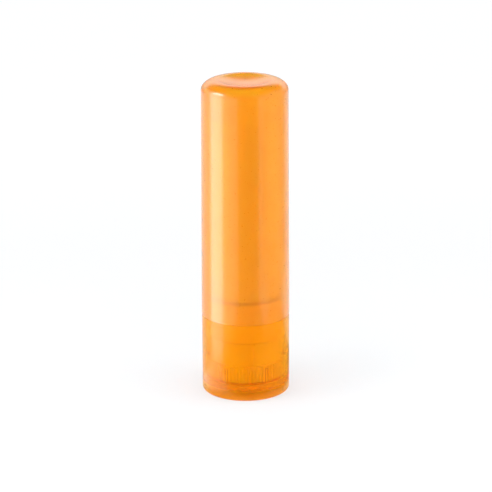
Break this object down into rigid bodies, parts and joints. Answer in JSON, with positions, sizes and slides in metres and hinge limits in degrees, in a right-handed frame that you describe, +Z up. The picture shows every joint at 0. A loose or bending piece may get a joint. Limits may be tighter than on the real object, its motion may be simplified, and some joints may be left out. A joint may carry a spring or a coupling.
{
  "type": "lip balm stick",
  "caption": "Slim round twist-up lip balm stick with a translucent orange pull-off cap, a turning base and a balm raised by an inner screw.",
  "frame": {"origin": "the middle of the ring that the stick stands on", "axes": "+Z up along the stick, from the base to the cap; +Y points away from the side that the picture shows"},
  "size_m": [0.019, 0.019, 0.0693],
  "materials": {
    "frosted_orange": "frosted translucent orange",
    "clear_orange": "glossy translucent deep orange",
    "natural_plastic": "milky natural, satin",
    "balm": "waxy, soft sheen"
  },
  "bodies": {
    "barrel_body": {"barrel": "natural_plastic"},
    "base_body": {"base_cup": "clear_orange", "drive_spindle": "natural_plastic"},
    "balm_body": {"carrier": "natural_plastic", "balm": "balm"},
    "cap_body": {"cap": "frosted_orange"}
  },
  "joints": [
    {"name": "base_turn", "type": "hinge", "parent": "barrel_body", "child": "base_body", "pos_m": [0, 0, 0], "axis": [0, 0, 1], "range_deg": [0, 3420]},
    {"name": "balm_lift", "type": "slide", "parent": "barrel_body", "child": "balm_body", "axis": [0, 0, 1], "range_m": [0, 0.038]},
    {"name": "cap_pull", "type": "slide", "parent": "balm_body", "child": "cap_body", "axis": [0, 0, 1], "range_m": [0, 0.048]}
  ],
  "couplings": [
    {"joint": "balm_lift", "follows": "base_turn", "m_per_rad": 0.00063662}
  ]
}
